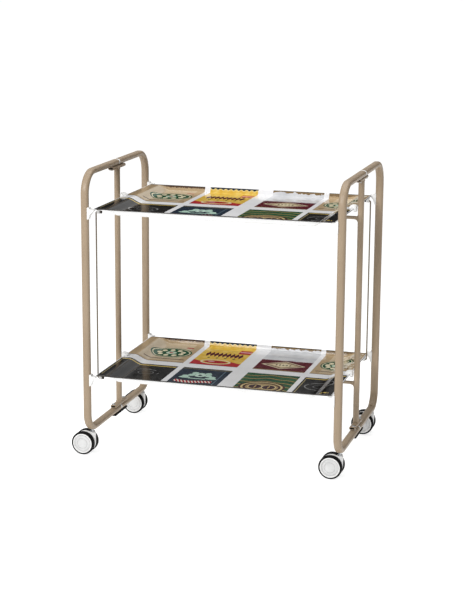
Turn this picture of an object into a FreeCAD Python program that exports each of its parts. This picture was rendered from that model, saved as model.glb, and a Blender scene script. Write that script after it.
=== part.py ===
import FreeCAD, Part
import Sketcher
import os

doc = FreeCAD.newDocument("bar_cart")
dims = doc.addObject("Spreadsheet::Sheet", "dims")

# Driving dimensions in millimetres: alias, value.
DIMENSIONS = [
    ("mid_x", 19.5),
    ("side_x", 315.0),
    ("post_y", 218.0),
    ("leg_half", 10.0),
    ("leg_rise", 7.25),
    ("leg_wall", 1.5),
    ("top_arm_z", 707.5),
    ("low_arm_z", 68.0),
    ("top_bend", 52.0),
    ("low_bend", 42.0),
    ("arm_end_y", 3.5),
    ("plug_cap", 2.0),
    ("plug_length", 12.0),
    ("pin_y", 36.0),
    ("pin_radius", 3.0),
    ("hinge_gap", 0.05),
    ("mast_x", 313.0),
    ("mast_radius", 7.5),
    ("mast_wall", 1.25),
    ("bar_width", 8.0),
    ("bar_rise", 4.0),
    ("bar_half", 43.0),
    ("bar_drop", 12.0),
    ("bar_plug_inset", 1.4),
    ("bar_plug_thick", 1.5),
    ("collar_radius", 5.5),
    ("head_thick", 1.5),
    ("strap_width", 13.0),
    ("strap_thick", 4.0),
    ("strap_gap", 0.6),
    ("cross_radius", 4.2),
    ("cross_wall", 1.2),
    ("upper_lip_z", 622.0),
    ("lower_lip_z", 208.0),
    ("pivot_drop", 23.0),
    ("tray_half_x", 296.5),
    ("tray_half_y", 208.3),
    ("tray_sheet", 2.0),
    ("tray_corner", 4.0),
    ("lip_flat", 22.0),
    ("slope_run", 36.0),
    ("rim_run", 10.0),
    ("tray_drop", 13.0),
    ("cheek_x", 303.5),
    ("cheek_radius", 9.0),
    ("dome_radius", 10.0),
    ("dome_length", 13.0),
    ("clip_radius", 9.0),
    ("clip_length", 12.0),
    ("clip_web", 16.0),
    ("clip_inset", 34.0),
    ("rod_radius", 1.8),
    ("rod_x", 298.8),
    ("rod_y", 186.0),
    ("rod_drop", 11.0),
    ("lug_outer", 295.5),
    ("lug_length", 7.0),
    ("lug_half", 5.0),
    ("cap_radius", 3.6),
    ("cap_length", 3.0),
    ("cap_gap", 0.5),
    ("bracket_reach", 15.0),
    ("bracket_height", 29.0),
    ("bracket_width", 15.2),
    ("bracket_out", 8.2),
    ("bracket_foot", 3.0),
    ("bracket_ledge", 2.0),
    ("bracket_rise", 5.0),
    ("stem_y", 186.0),
    ("stem_radius", 4.0),
    ("nut_radius", 6.5),
    ("nut_height", 4.0),
    ("stem_sink", 3.0),
    ("stem_washer", 1.2),
    ("washer_gap", 0.2),
    ("trail", 20.0),
    ("wheel_radius", 29.0),
    ("tyre_thick", 3.4),
    ("wheel_width", 13.0),
    ("wheel_gap", 7.1),
    ("hood_half", 6.5),
    ("hood_radius", 27.0),
    ("hub_radius", 8.5),
    ("hub_low_z", 37.0),
    ("hub_top_z", 56.5),
    ("axle_radius", 3.0),
    ("disc_radius", 21.0),
    ("disc_thick", 1.4),
    ("slot_spare", 2.0),
    ("slot_play", 0.3),
    ("tyre_round", 2.2),
    ("tool_reach", 60.0),
]

row = 1
for alias, value in DIMENSIONS:
    dims.set("A%d" % row, alias)
    dims.set("B%d" % row, str(value))
    dims.setAlias("B%d" % row, alias)
    row = row + 1
doc.recompute()

TURN_X = FreeCAD.Rotation(FreeCAD.Vector(0, 1, 0), 90)
TURN_Y = FreeCAD.Rotation(FreeCAD.Vector(1, 0, 0), -90)
TURN_NONE = FreeCAD.Rotation()
SUBPARTS = []


def place(obj, where, rotation):
    """Turn the object and bind its position to the sheet."""
    obj.Placement = FreeCAD.Placement(FreeCAD.Vector(0, 0, 0), rotation)
    for letter, text in zip("xyz", where):
        obj.setExpression("Placement.Base." + letter, text)
    return obj


def box(name, size, corner):
    obj = doc.addObject("Part::Box", name)
    for prop, text in zip(("Length", "Width", "Height"), size):
        obj.setExpression(prop, text)
    return place(obj, corner, TURN_NONE)


def rod(name, radius, length, start, rotation=TURN_NONE):
    obj = doc.addObject("Part::Cylinder", name)
    obj.setExpression("Radius", radius)
    obj.setExpression("Height", length)
    return place(obj, start, rotation)


def oval_y(name, half_width, half_rise, length, centre, shrink="0"):
    """Flat-oval bar along Y: wide in X, thinner in Z, centred on x and z."""
    x, y, z = centre
    wide = "(%s - %s)" % (half_width, half_rise)
    rise = "%s - %s" % (half_rise, shrink)
    slab = box(name + "_slab", ("2 * " + wide, length, "2 * (%s)" % rise),
               ("%s - %s" % (x, wide), y, "%s - (%s)" % (z, rise)))
    low = rod(name + "_low", rise, length, ("%s - %s" % (x, wide), y, z), TURN_Y)
    high = rod(name + "_high", rise, length, ("%s + %s" % (x, wide), y, z), TURN_Y)
    return fuse(name, [slab, low, high])


def oval_z(name, half_width, half_rise, length, centre):
    """Flat-oval post along Z: wide in X, thinner in Y."""
    x, y, z = centre
    wide = "(%s - %s)" % (half_width, half_rise)
    slab = box(name + "_slab", ("2 * " + wide, "2 * " + half_rise, length),
               ("%s - %s" % (x, wide), "%s - %s" % (y, half_rise), z))
    low = rod(name + "_low", half_rise, length, ("%s - %s" % (x, wide), y, z))
    high = rod(name + "_high", half_rise, length, ("%s + %s" % (x, wide), y, z))
    return fuse(name, [slab, low, high])


def ball(name, radius, centre):
    obj = doc.addObject("Part::Sphere", name)
    obj.setExpression("Radius", radius)
    return place(obj, centre, TURN_NONE)


def fuse(name, shapes):
    obj = doc.addObject("Part::MultiFuse", name)
    obj.Shapes = shapes
    obj.Refine = True
    return obj


def cut(name, base, tool):
    obj = doc.addObject("Part::Cut", name)
    obj.Base = base
    obj.Tool = tool
    return obj


def group(name, shapes):
    obj = doc.addObject("Part::Compound", name)
    obj.Links = shapes
    return obj


def finish(obj, label):
    """Register an object as a sub-part under its own label."""
    obj.Label = label
    SUBPARTS.append(obj)
    return obj


def D(alias):
    return "dims." + alias


def at_x(side, alias):
    """Expression for a distance either side of the cart's middle."""
    sign = "+" if side > 0 else "-"
    return "dims.mid_x %s dims.%s" % (sign, alias)


def signed(sign, text):
    return text if sign > 0 else "-(%s)" % text


def plane_of(body, role):
    for feature in body.Origin.OriginFeatures:
        if feature.Role == role:
            return feature


def tube_ring(body, name, spot):
    """Flat-oval ring profile on the body's XZ plane, centred at height spot."""
    sketch = body.newObject("Sketcher::SketchObject", name)
    sketch.AttachmentSupport = [(plane_of(body, "XZ_Plane"), "")]
    sketch.MapMode = "FlatFace"
    up = FreeCAD.Vector(0, 0, 1)
    reach = dims.leg_half - dims.leg_rise
    count = 0
    for loop, wall in enumerate((0, dims.leg_wall)):
        rise = dims.leg_rise - wall
        first = 4 * loop
        shapes = [
            Part.ArcOfCircle(Part.Circle(FreeCAD.Vector(reach, 0, 0), up, rise),
                             -1.5707963267949, 1.5707963267949),
            Part.LineSegment(FreeCAD.Vector(reach, rise, 0), FreeCAD.Vector(-reach, rise, 0)),
            Part.ArcOfCircle(Part.Circle(FreeCAD.Vector(-reach, 0, 0), up, rise),
                             1.5707963267949, 4.71238898038469),
            Part.LineSegment(FreeCAD.Vector(-reach, -rise, 0), FreeCAD.Vector(reach, -rise, 0)),
        ]
        sketch.addGeometry(shapes, False)
        for step in range(4):
            here = first + step
            after = first + (step + 1) % 4
            sketch.addConstraint(Sketcher.Constraint("Tangent", here, 2, after, 1))
        sketch.addConstraint(Sketcher.Constraint("Equal", first, first + 2))
        sketch.addConstraint(Sketcher.Constraint("Symmetric", first, 3, first + 2, 3, -2))
        count = sketch.ConstraintCount
        rise_text = "dims.leg_rise" + (" - dims.leg_wall" if loop else "")
        bound = [
            (Sketcher.Constraint("Radius", first, rise), rise_text),
            (Sketcher.Constraint("DistanceX", first + 2, 3, first, 3, 2 * reach),
             "2 * (dims.leg_half - dims.leg_rise)"),
            (Sketcher.Constraint("DistanceY", -1, 1, first, 3, 0.5), spot),
        ]
        for constraint, text in bound:
            sketch.addConstraint(constraint)
            sketch.setExpression("Constraints[%d]" % count, text)
            count = count + 1
    return sketch


def leg_tube(name, side, front):
    """C-shaped half frame: upper arm, post and lower arm in one bent tube."""
    body = doc.addObject("PartDesign::Body", name + "_body")
    ring = tube_ring(body, name + "_ring", D("top_arm_z"))
    ring.setExpression("AttachmentOffset.Base.z", D("arm_end_y"))
    path = body.newObject("Sketcher::SketchObject", name + "_path")
    path.AttachmentSupport = [(plane_of(body, "YZ_Plane"), "")]
    path.MapMode = "FlatFace"
    far = dims.post_y
    top = dims.top_arm_z
    low = dims.low_arm_z
    big = dims.top_bend
    small = dims.low_bend
    near = dims.arm_end_y

    def point(y, z):
        return FreeCAD.Vector(-y, z, 0)

    segments = [
        Part.LineSegment(point(near, top), point(far - big, top)),
        Part.ArcOfCircle(Part.Circle(point(far - big, top - big), FreeCAD.Vector(0, 0, 1), big),
                         1.5707963267949, 3.14159265358979),
        Part.LineSegment(point(far, top - big), point(far, low + small)),
        Part.ArcOfCircle(Part.Circle(point(far - small, low + small), FreeCAD.Vector(0, 0, 1), small),
                         3.14159265358979, 4.71238898038469),
        Part.LineSegment(point(far - small, low), point(near, low)),
    ]
    path.addGeometry(segments, False)
    joins = [(0, 2, 1, 1), (1, 2, 2, 1), (2, 2, 3, 1), (3, 2, 4, 1)]
    for first, end, second, start in joins:
        path.addConstraint(Sketcher.Constraint("Tangent", first, end, second, start))
    path.addConstraint(Sketcher.Constraint("Horizontal", 0))
    path.addConstraint(Sketcher.Constraint("Vertical", 2))
    path.addConstraint(Sketcher.Constraint("Horizontal", 4))
    count = path.ConstraintCount
    bound = [
        (Sketcher.Constraint("Radius", 1, big), "top_bend"),
        (Sketcher.Constraint("Radius", 3, small), "low_bend"),
        (Sketcher.Constraint("DistanceY", -1, 1, 0, 1, top), "top_arm_z"),
        (Sketcher.Constraint("DistanceY", -1, 1, 4, 2, low), "low_arm_z"),
        (Sketcher.Constraint("DistanceX", 0, 1, -1, 1, near), "arm_end_y"),
        (Sketcher.Constraint("DistanceX", 4, 2, -1, 1, near), "arm_end_y"),
        (Sketcher.Constraint("DistanceX", 2, 1, -1, 1, far), "post_y"),
    ]
    for constraint, alias in bound:
        path.addConstraint(constraint)
        path.setExpression("Constraints[%d]" % count, D(alias))
        count = count + 1
    doc.recompute()
    pipe = body.newObject("PartDesign::AdditivePipe", name + "_pipe")
    pipe.Profile = ring
    pipe.Spine = (path, ["Edge1", "Edge2", "Edge3", "Edge4", "Edge5"])
    body.Tip = pipe
    turn = TURN_NONE if front else FreeCAD.Rotation(FreeCAD.Vector(0, 0, 1), 180)
    body.Placement = FreeCAD.Placement(FreeCAD.Vector(0, 0, 0), turn)
    body.setExpression("Placement.Base.x", at_x(side, "side_x"))
    return body


SIDES = (("left", -1), ("right", 1))
ENDS = (("front", -1), ("rear", 1))
LEVELS = (("upper", "upper_lip_z"), ("lower", "lower_lip_z"))
for side_name, side in SIDES:
    for end_name, end in ENDS:
        name = side_name + "_" + end_name
        plane_x = at_x(side, "side_x")
        tube = leg_tube(name, side, end < 0)
        pin_y = signed(end, D("pin_y"))
        stem_y = signed(end, D("stem_y"))
        holes = [
            rod(name + "_top_hole", "dims.pin_radius + dims.hinge_gap", "dims.leg_rise",
                (plane_x, pin_y, "dims.top_arm_z - dims.leg_rise - 2")),
            rod(name + "_low_hole", "dims.pin_radius + dims.hinge_gap", "4 * dims.leg_half",
                (plane_x, pin_y, "dims.low_arm_z - 2 * dims.leg_half")),
            rod(name + "_stem_hole", D("stem_radius"), "4 * dims.leg_half",
                (plane_x, stem_y, "dims.low_arm_z - 2 * dims.leg_half")),
        ]
        leg = cut(name + "_drilled", tube, fuse(name + "_holes", holes))
        finish(leg, name + "_leg")

        # End plugs close the two arms of the half frame.
        plugs = []
        for level, height in (("top", "top_arm_z"), ("low", "low_arm_z")):
            cap_start = "dims.arm_end_y - dims.plug_cap"
            core_start = "dims.arm_end_y"
            if end < 0:
                cap_start = "-(dims.arm_end_y)"
                core_start = "-(dims.arm_end_y + dims.plug_length)"
            cap = oval_y(name + "_%s_plug_cap" % level, D("leg_half"), D("leg_rise"),
                         D("plug_cap"), (plane_x, cap_start, D(height)))
            core = oval_y(name + "_%s_plug_core" % level, D("leg_half"), D("leg_rise"),
                          D("plug_length"), (plane_x, core_start, D(height)), D("leg_wall"))
            plug = fuse(name + "_%s_plug" % level, [cap, core])
            plugs.append(plug)
        finish(group(name + "_plugs", plugs), name + "_end_plugs")

        # Gusset brackets on the inner side of the post, one per tray level.
        brackets = []
        for level, lip in LEVELS:
            wedge = doc.addObject("Part::Wedge", name + "_%s_gusset" % level)
            reach = "dims.bracket_reach + dims.leg_wall"
            wedge.setExpression("Xmin", "0")
            wedge.setExpression("Xmax", D("bracket_foot"))
            wedge.setExpression("X2min", "0")
            wedge.setExpression("X2max", reach)
            wedge.setExpression("Ymin", "0")
            wedge.setExpression("Ymax", "dims.bracket_height - dims.bracket_rise - dims.bracket_ledge")
            wedge.setExpression("Zmin", "0")
            wedge.setExpression("Zmax", D("bracket_width"))
            wedge.setExpression("Z2min", "0")
            wedge.setExpression("Z2max", D("bracket_width"))
            outer_y = "(dims.post_y + dims.bracket_out)"
            inner_y = "(dims.post_y + dims.bracket_out - dims.bracket_width)"
            low_face = "-" + outer_y if end < 0 else inner_y
            high_face = "-" + inner_y if end < 0 else outer_y
            turn = FreeCAD.Rotation(FreeCAD.Vector(1, 0, 0), 90)
            base_z = "%s + dims.bracket_rise - dims.bracket_height" % D(lip)
            start_x = at_x(side, "side_x") + " + dims.leg_half - dims.leg_wall"
            wedge_y = high_face
            face_x = start_x
            ear_x = start_x + " - dims.leg_wall - dims.bracket_foot"
            if side > 0:
                turn = turn.multiply(FreeCAD.Rotation(FreeCAD.Vector(0, 1, 0), 180))
                start_x = at_x(side, "side_x") + " - dims.leg_half + dims.leg_wall"
                wedge_y = low_face
                face_x = start_x + " - (%s)" % reach
                ear_x = start_x
            place(wedge, (start_x, wedge_y, base_z), turn)
            ledge = box(name + "_%s_ledge" % level, (reach, D("bracket_width"), D("bracket_ledge")),
                        (face_x, low_face, "%s - dims.bracket_ledge" % D(lip)))
            ear = box(name + "_%s_ear" % level,
                      ("dims.leg_wall + dims.bracket_foot", D("bracket_width"),
                       "dims.bracket_height"), (ear_x, low_face, base_z))
            solid = fuse(name + "_%s_bracket_raw" % level, [wedge, ledge, ear])
            post = oval_z(name + "_%s_post_tool" % level, D("leg_half"), D("leg_rise"),
                          "2 * dims.tool_reach", (plane_x, signed(end, D("post_y")),
                                                  "%s - dims.tool_reach" % D(lip)))
            brackets.append(cut(name + "_%s_bracket" % level, solid, post))
        finish(group(name + "_brackets", brackets), name + "_tray_brackets")

        # Caster stem, fixed in the lower arm and capped by a nut.
        stem = rod(name + "_stem_rod", D("stem_radius"),
                   "dims.low_arm_z + dims.leg_rise + dims.nut_height - dims.hub_low_z - dims.stem_sink",
                   (plane_x, stem_y, "dims.hub_low_z + dims.stem_sink"))
        nut = rod(name + "_stem_nut", D("nut_radius"), D("nut_height"),
                  (plane_x, stem_y, "dims.low_arm_z + dims.leg_rise"))
        collar = rod(name + "_stem_collar", D("nut_radius"), D("stem_washer"),
                     (plane_x, stem_y, "dims.hub_top_z + dims.washer_gap"))
        stem_raw = fuse(name + "_stem_raw", [stem, nut, collar])
        finish(cut(name + "_stem", stem_raw, leg), name + "_caster_stem")

        # Swivelling hood: hub round the stem and a web between the wheels.
        hub = rod(name + "_hub", D("hub_radius"), "dims.hub_top_z - dims.hub_low_z",
                  (plane_x, stem_y, D("hub_low_z")))
        axle_x = plane_x + " - dims.trail"
        web = rod(name + "_web", D("hood_radius"), "2 * dims.hood_half",
                  (axle_x, stem_y + " - dims.hood_half", D("wheel_radius")), TURN_Y)
        hood_raw = fuse(name + "_hood_raw", [hub, web])
        stem_bore = rod(name + "_stem_bore", "dims.stem_radius + dims.hinge_gap", D("tool_reach"),
                        (plane_x, stem_y, "dims.hub_low_z + dims.stem_sink - 0.5"))
        axle_bore = rod(name + "_axle_bore", "dims.axle_radius + dims.hinge_gap", D("tool_reach"),
                        (axle_x, stem_y + " - dims.tool_reach / 2", D("wheel_radius")), TURN_Y)
        roof = rod(name + "_roof_tool", D("tool_reach"), D("tool_reach"),
                   (plane_x, stem_y, D("hub_top_z")))
        bores = fuse(name + "_hood_bores", [stem_bore, axle_bore, roof])
        wheel_slots = []
        for where, sign in (("near", -1), ("far", 1)):
            start = " + dims.wheel_gap - dims.slot_play"
            if sign < 0:
                start = " - dims.wheel_gap - dims.wheel_width - dims.slot_spare + dims.slot_play"
            wheel_slots.append(rod(name + "_%s_slot" % where,
                                   "dims.wheel_radius + dims.stem_washer",
                                   "dims.wheel_width + dims.slot_spare",
                                   (axle_x, stem_y + start, D("wheel_radius")), TURN_Y))
        slot_tool = fuse(name + "_wheel_slots", wheel_slots)
        hood_bored = cut(name + "_hood_bored", hood_raw, bores)
        finish(cut(name + "_hood", hood_bored, slot_tool), name + "_caster_hood")

        axle_half = "dims.wheel_gap + dims.wheel_width"
        axle = rod(name + "_axle", D("axle_radius"), "2 * (%s)" % axle_half,
                   (axle_x, stem_y + " - (%s)" % axle_half, D("wheel_radius")), TURN_Y)
        finish(axle, name + "_caster_axle")
        wheels = []
        tyres = []
        discs = []
        for where, sign in (("near", -1), ("far", 1)):
            start = " + dims.wheel_gap" if sign > 0 else " - dims.wheel_gap - dims.wheel_width"
            spot = (axle_x, stem_y + start, D("wheel_radius"))
            label = name + "_" + where
            rim_radius = "dims.wheel_radius - dims.tyre_thick"
            rim = rod(label + "_rim", rim_radius, D("wheel_width"), spot, TURN_Y)
            bore = rod(label + "_bore", D("axle_radius"), D("wheel_width"), spot, TURN_Y)
            wheels.append(cut(label + "_wheel", rim, bore))
            outer = rod(label + "_outer", D("wheel_radius"), D("wheel_width"), spot, TURN_Y)
            rounded = doc.addObject("Part::Fillet", label + "_rounded")
            doc.recompute()
            rounded.Base = outer
            rounded.Edges = [(1, dims.tyre_round, dims.tyre_round),
                             (3, dims.tyre_round, dims.tyre_round)]
            hole = rod(label + "_hole", rim_radius, D("wheel_width"), spot, TURN_Y)
            tyres.append(cut(label + "_tyre", rounded, hole))
            edge = stem_y + (" + (%s)" % axle_half if sign > 0
                             else " - (%s) - dims.disc_thick" % axle_half)
            face = rod(label + "_face", D("disc_radius"), D("disc_thick"),
                       (axle_x, edge, D("wheel_radius")), TURN_Y)
            discs.append(face)
        finish(group(name + "_wheels", wheels), name + "_caster_wheels")
        finish(group(name + "_tyres", tyres), name + "_caster_tyres")
        finish(group(name + "_discs", discs), name + "_caster_discs")

# Centre masts, with the hinge bars the half frames turn on.
for side_name, side in SIDES:
    mast_x = at_x(side, "mast_x")
    plane_x = at_x(side, "side_x")
    outer = rod(side_name + "_mast_outer", D("mast_radius"),
                "dims.top_arm_z - dims.low_arm_z - 2 * dims.bar_drop",
                (mast_x, "0", "dims.low_arm_z + dims.bar_drop"))
    inner = rod(side_name + "_mast_inner", "dims.mast_radius - dims.mast_wall",
                "dims.top_arm_z - dims.low_arm_z - 2 * dims.bar_drop",
                (mast_x, "0", "dims.low_arm_z + dims.bar_drop"))
    mast_tube = cut(side_name + "_mast_tube", outer, inner)
    bars = []
    tools = []
    for level, height in (("top", "dims.top_arm_z - dims.bar_drop"),
                          ("low", "dims.low_arm_z + dims.bar_drop")):
        for stock, kind in ((bars, "bar"), (tools, "bar_tool")):
            stock.append(oval_y("%s_%s_%s" % (side_name, level, kind), D("bar_width"),
                                D("bar_rise"), "2 * dims.bar_half",
                                (mast_x, "-(dims.bar_half)", height)))
    finish(cut(side_name + "_mast", mast_tube, fuse(side_name + "_bar_tools", tools)),
           side_name + "_centre_post")
    pins = []
    pin_holes = []
    strap = box(side_name + "_strap_raw", (D("strap_width"), "2 * dims.bar_half",
                D("strap_thick")),
                (plane_x + " - dims.strap_width / 2", "-(dims.bar_half)",
                 "dims.low_arm_z - dims.leg_rise - dims.strap_thick - dims.strap_gap"))
    plugs = []
    low_start = "dims.low_arm_z - dims.leg_rise - dims.strap_thick - dims.strap_gap"
    low_end = "dims.low_arm_z + dims.bar_drop + dims.bar_rise + dims.head_thick"
    top_start = "dims.top_arm_z - dims.bar_drop - dims.bar_rise - dims.head_thick"
    top_end = "dims.top_arm_z - 5"
    spans = (
        ("top", top_start, top_end, top_start, "dims.top_arm_z - dims.bar_drop"),
        ("low", low_start, low_end, "%s - dims.head_thick" % low_end,
         "dims.low_arm_z + dims.leg_rise + 2 * dims.hinge_gap"),
    )
    for end_name, end in ENDS:
        pin_y = signed(end, D("pin_y"))
        for level, start, stop, head_z, collar_z in spans:
            label = side_name + "_" + end_name + "_" + level
            length = "(%s) - (%s)" % (stop, start)
            spot = (plane_x, pin_y, start)
            shank = rod(label + "_shank", D("pin_radius"), length, spot)
            head = rod(label + "_head", D("collar_radius"), D("head_thick"),
                       (plane_x, pin_y, head_z))
            collar = rod(label + "_collar", D("collar_radius"),
                         "dims.bar_drop - dims.leg_rise - 2 * dims.hinge_gap",
                         (plane_x, pin_y, collar_z))
            pins.append(fuse(label + "_pin", [shank, head, collar]))
            pin_holes.append(rod(label + "_pin_tool", D("pin_radius"), length, spot))
        plug_y = "dims.bar_half" if end > 0 else "-(dims.bar_half + dims.bar_plug_thick)"
        for level, height in (("top", "dims.top_arm_z - dims.bar_drop"),
                              ("low", "dims.low_arm_z + dims.bar_drop")):
            plugs.append(oval_y(side_name + "_%s_%s_bar_plug" % (end_name, level),
                                D("bar_width"), D("bar_rise"), D("bar_plug_thick"),
                                (mast_x, plug_y, height), D("bar_plug_inset")))
    pin_tool = fuse(side_name + "_pin_tools", pin_holes)
    bar_pair = group(side_name + "_bar_pair", bars)
    bar_set = cut(side_name + "_bars", bar_pair, pin_tool)
    finish(bar_set, side_name + "_hinge_bars")
    pin_set = group(side_name + "_pin_set", pins)
    finish(cut(side_name + "_pins", pin_set, bar_set), side_name + "_hinge_pins")
    finish(group(side_name + "_plugs", plugs), side_name + "_bar_plugs")
    finish(cut(side_name + "_strap", strap, pin_tool), side_name + "_bottom_strap")

# Trays with their cross tubes, pivots and rod lugs.
for level, lip in LEVELS:
    lip_z = D(lip)
    axis_z = "%s - dims.pivot_drop" % lip_z
    outer = rod(level + "_cross_outer", D("cross_radius"), "2 * dims.mast_x",
                ("dims.mid_x - dims.mast_x", "0", axis_z), TURN_X)
    inner = rod(level + "_cross_inner", "dims.cross_radius - dims.cross_wall",
                "2 * dims.mast_x", ("dims.mid_x - dims.mast_x", "0", axis_z), TURN_X)
    masts = []
    for side_name, side in SIDES:
        masts.append(rod(level + "_" + side_name + "_mast_tool", D("mast_radius"),
                         D("tool_reach"), (at_x(side, "mast_x"), "0",
                                           axis_z + " - dims.tool_reach / 2")))
    mast_tool = fuse(level + "_mast_tools", masts)
    hollow = cut(level + "_cross_hollow", outer, inner)
    finish(cut(level + "_cross", hollow, mast_tool), level + "_cross_tube")

    plate = box(level + "_plate", ("2 * dims.tray_half_x", "2 * dims.tray_half_y",
                D("tray_sheet")),
                ("dims.mid_x - dims.tray_half_x", "-(dims.tray_half_y)",
                 "%s - dims.tray_sheet" % lip_z))
    doc.recompute()
    lip_plate = doc.addObject("Part::Fillet", level + "_lip_plate")
    lip_plate.Base = plate
    lip_plate.Edges = [(edge, dims.tray_corner, dims.tray_corner) for edge in (1, 3, 5, 7)]
    wedges = []
    for kind, drop in (("recess", "0"), ("pan", "dims.tray_sheet")):
        wedge = doc.addObject("Part::Wedge", level + "_" + kind)
        top_x = "(dims.tray_half_x - dims.lip_flat)"
        low_x = "(dims.tray_half_x - dims.lip_flat - dims.slope_run)"
        top_y = "(dims.tray_half_y - dims.tray_sheet)"
        low_y = "(dims.tray_half_y - dims.tray_sheet - dims.rim_run)"
        wedge.setExpression("Xmin", "-" + low_x)
        wedge.setExpression("Xmax", low_x)
        wedge.setExpression("X2min", "-" + top_x)
        wedge.setExpression("X2max", top_x)
        wedge.setExpression("Ymin", "0")
        wedge.setExpression("Ymax", D("tray_drop"))
        wedge.setExpression("Zmin", "-" + low_y)
        wedge.setExpression("Zmax", low_y)
        wedge.setExpression("Z2min", "-" + top_y)
        wedge.setExpression("Z2max", top_y)
        place(wedge, ("dims.mid_x", "0", "%s - dims.tray_drop - %s" % (lip_z, drop)),
              FreeCAD.Rotation(FreeCAD.Vector(1, 0, 0), 90))
        wedges.append(wedge)
    shell = fuse(level + "_shell", [lip_plate, wedges[1]])
    finish(cut(level + "_pan_cut", shell, wedges[0]), level + "_tray")

    pivots = []
    lugs = []
    for side_name, side in SIDES:
        label = level + "_" + side_name
        # Cylinders along X start at their lower X end.
        disc_start = at_x(side, "cheek_x" if side < 0 else "tray_half_x")
        disc = rod(label + "_saddle_disc", D("cheek_radius"), "dims.cheek_x - dims.tray_half_x",
                   (disc_start, "0", lip_z), TURN_X)
        dome_start = at_x(side, "tray_half_x")
        trim_x = dome_start
        if side > 0:
            dome_start = dome_start + " - dims.dome_length"
            trim_x = trim_x + " - dims.tool_reach"
        dome = rod(label + "_dome", D("dome_radius"), D("dome_length"),
                   (dome_start, "0", lip_z), TURN_X)
        trim = box(label + "_saddle_trim", (D("tool_reach"), D("tool_reach"), D("pivot_drop")),
                   (trim_x, "-(dims.tool_reach) / 2", axis_z))
        pivots.append(cut(label + "_saddle", fuse(label + "_saddle_raw", [disc, dome]), trim))

        clip_start = at_x(side, "tray_half_x")
        if side > 0:
            clip_start = clip_start + " - dims.clip_inset - dims.clip_length"
        else:
            clip_start = clip_start + " + dims.clip_inset"
        clip = rod(label + "_clip", D("clip_radius"), D("clip_length"),
                   (clip_start, "0", axis_z), TURN_X)
        web = box(label + "_clip_web", (D("clip_length"), D("clip_web"),
                                        "dims.pivot_drop - dims.tray_sheet"),
                  (clip_start, "-(dims.clip_web) / 2", axis_z))
        bore = rod(label + "_clip_bore", "dims.cross_radius + dims.hinge_gap",
                   "2 * dims.clip_length",
                   (clip_start + " - dims.clip_length / 2", "0", axis_z), TURN_X)
        clip_raw = fuse(label + "_clip_raw", [clip, web])
        pivots.append(cut(label + "_tube_clip", clip_raw,
                          fuse(label + "_clip_tools", [bore, wedges[1]])))
        end = -1 if side < 0 else 1
        rod_y = signed(end, D("rod_y"))
        lug_start = at_x(side, "lug_outer")
        if side > 0:
            lug_start = lug_start + " - dims.lug_length"
        block = box(label + "_lug_block", (D("lug_length"), "2 * dims.lug_half",
                    "dims.rod_drop - dims.tray_sheet"),
                    (lug_start, rod_y + " - dims.lug_half", "%s - dims.rod_drop" % lip_z))
        eye = rod(label + "_lug_eye", D("lug_half"), D("lug_length"),
                  (lug_start, rod_y, "%s - dims.rod_drop" % lip_z), TURN_X)
        hole = rod(label + "_lug_hole", "dims.rod_radius + dims.hinge_gap", D("lug_length"),
                   (lug_start, rod_y, "%s - dims.rod_drop" % lip_z), TURN_X)
        lugs.append(cut(label + "_lug", fuse(label + "_lug_raw", [block, eye]), hole))
    finish(group(level + "_pivots", pivots), level + "_tray_pivots")
    finish(group(level + "_lugs", lugs), level + "_rod_lugs")

# Link rods keep the two trays parallel: one front left, one rear right.
for name, side in (("front_link", -1), ("rear_link", 1)):
    end = side
    rod_x = at_x(side, "rod_x")
    rod_y = signed(end, D("rod_y"))
    hook_long = "dims.rod_x - dims.lug_outer + dims.lug_length + dims.cap_gap + dims.cap_length"
    pieces = [rod(name + "_straight", D("rod_radius"), "dims.upper_lip_z - dims.lower_lip_z",
                  (rod_x, rod_y, "dims.lower_lip_z - dims.rod_drop"))]
    caps = []
    for level, lip in LEVELS:
        eye_z = "%s - dims.rod_drop" % D(lip)
        hook_start = rod_x if side < 0 else rod_x + " - (%s)" % hook_long
        pieces.append(rod(name + "_%s_hook" % level, D("rod_radius"), hook_long,
                          (hook_start, rod_y, eye_z), TURN_X))
        pieces.append(ball(name + "_%s_bend" % level, D("rod_radius"), (rod_x, rod_y, eye_z)))
        cap_start = rod_x + (" + (%s) - dims.cap_length" % hook_long if side < 0
                             else " - (%s)" % hook_long)
        cap = rod(name + "_%s_cap_raw" % level, D("cap_radius"), D("cap_length"),
                  (cap_start, rod_y, eye_z), TURN_X)
        bore = rod(name + "_%s_cap_bore" % level, D("rod_radius"), D("cap_length"),
                   (cap_start, rod_y, eye_z), TURN_X)
        caps.append(cut(name + "_%s_cap" % level, cap, bore))
    finish(fuse(name + "_rod_raw", pieces), name + "_rod")
    finish(group(name + "_caps", caps), name + "_caps")

doc.recompute()

for obj in doc.Objects:
    if "Invalid" in obj.State or "Error" in obj.State:
        raise RuntimeError("object %s failed: %s" % (obj.Name, obj.State))
labels = [obj.Label for obj in SUBPARTS]
if len(labels) != len(set(labels)):
    raise RuntimeError("two sub-parts share a label")
for obj in SUBPARTS:
    if obj.Shape.isNull() or not obj.Shape.isValid():
        raise RuntimeError("sub-part %s has no valid shape" % obj.Label)
    if len(obj.Shape.Solids) < 1:
        raise RuntimeError("sub-part %s has no solid" % obj.Label)

os.makedirs("parts", exist_ok=True)
for obj in SUBPARTS:
    obj.Shape.exportStep("parts/%s.step" % obj.Label)
    print(obj.Label, len(obj.Shape.Solids), round(obj.Shape.Volume, 1))
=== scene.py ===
"""Folding bar cart on wheels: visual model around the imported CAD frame."""
import math

import bpy
import bmesh
from mathutils import Matrix, Vector


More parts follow.
